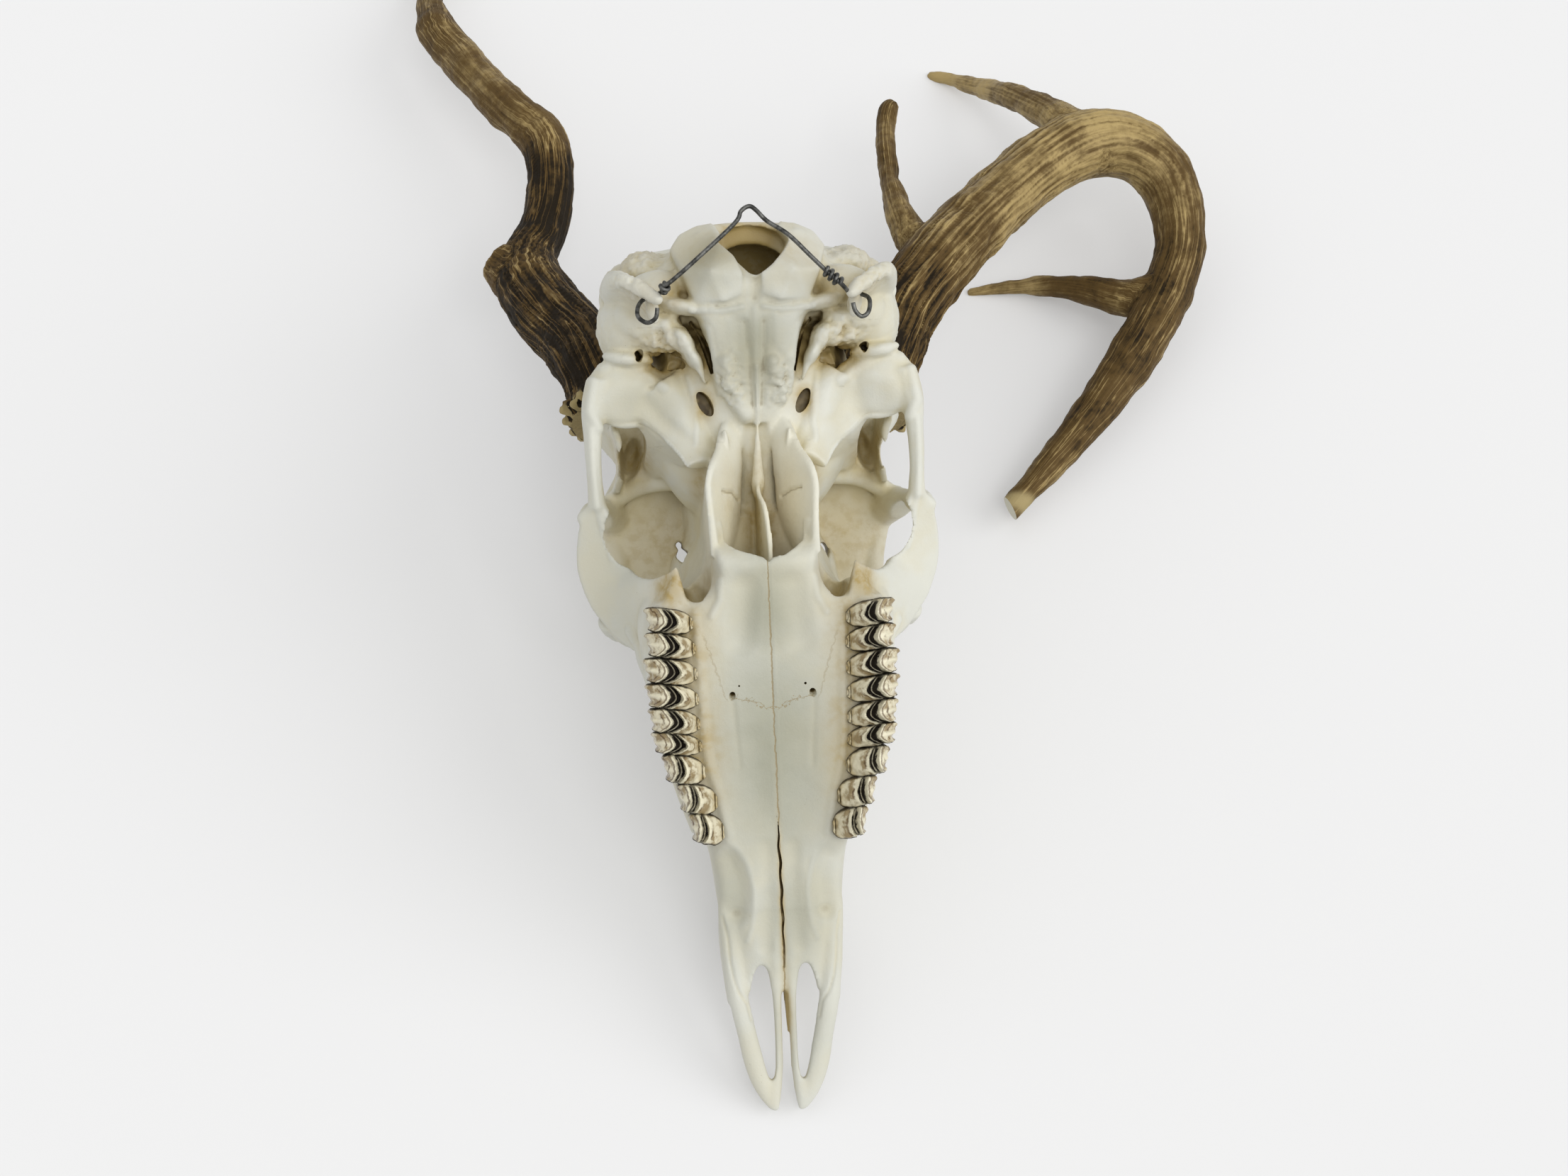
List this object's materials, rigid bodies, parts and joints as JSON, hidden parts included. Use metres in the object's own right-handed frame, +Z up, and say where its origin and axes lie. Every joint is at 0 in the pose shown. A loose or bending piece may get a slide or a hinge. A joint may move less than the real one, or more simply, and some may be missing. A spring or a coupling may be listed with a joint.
{
  "type": "white-tailed deer skull",
  "caption": "Cleaned buck's skull without its lower jaw, lying upside down on its nasal tips and uneven antlers, with a bent hanging wire at the back.",
  "frame": {"origin": "middle of the model's box seen from above, on the floor it lies on", "axes": "+Z up, +Y towards the back of the skull and the antler tips, +X towards the animal's right, palate up and tilted 35 degrees towards -Y"},
  "size_m": [0.2914, 0.5376, 0.1733],
  "materials": {
    "bone": "dry, matte to satin bone, ochre in the hollows",
    "tooth_enamel": "glossy enamel with dark brown folds",
    "antler": "rough grooved antler, paler on its ridges and tips",
    "steel_wire": "dull dark steel wire"
  },
  "bodies": {
    "root": {"occiput": "bone", "braincase": "bone", "sphenoid": "bone", "frontal": "bone", "zygomatic_left": "bone", "zygomatic_right": "bone", "maxilla_left": "bone", "maxilla_right": "bone", "premaxilla_left": "bone", "premaxilla_right": "bone", "nasal_left": "bone", "nasal_right": "bone", "antler_left_base": "antler", "antler_left_beam": "antler", "antler_left_tip": "antler", "antler_right_base": "antler", "antler_right_beam": "antler", "antler_right_bend": "antler", "antler_right_tip": "antler", "antler_right_brow_tine": "antler", "antler_right_second_tine": "antler", "antler_right_third_tine": "antler", "hanging_wire": "steel_wire"}
  },
  "joints": []
}
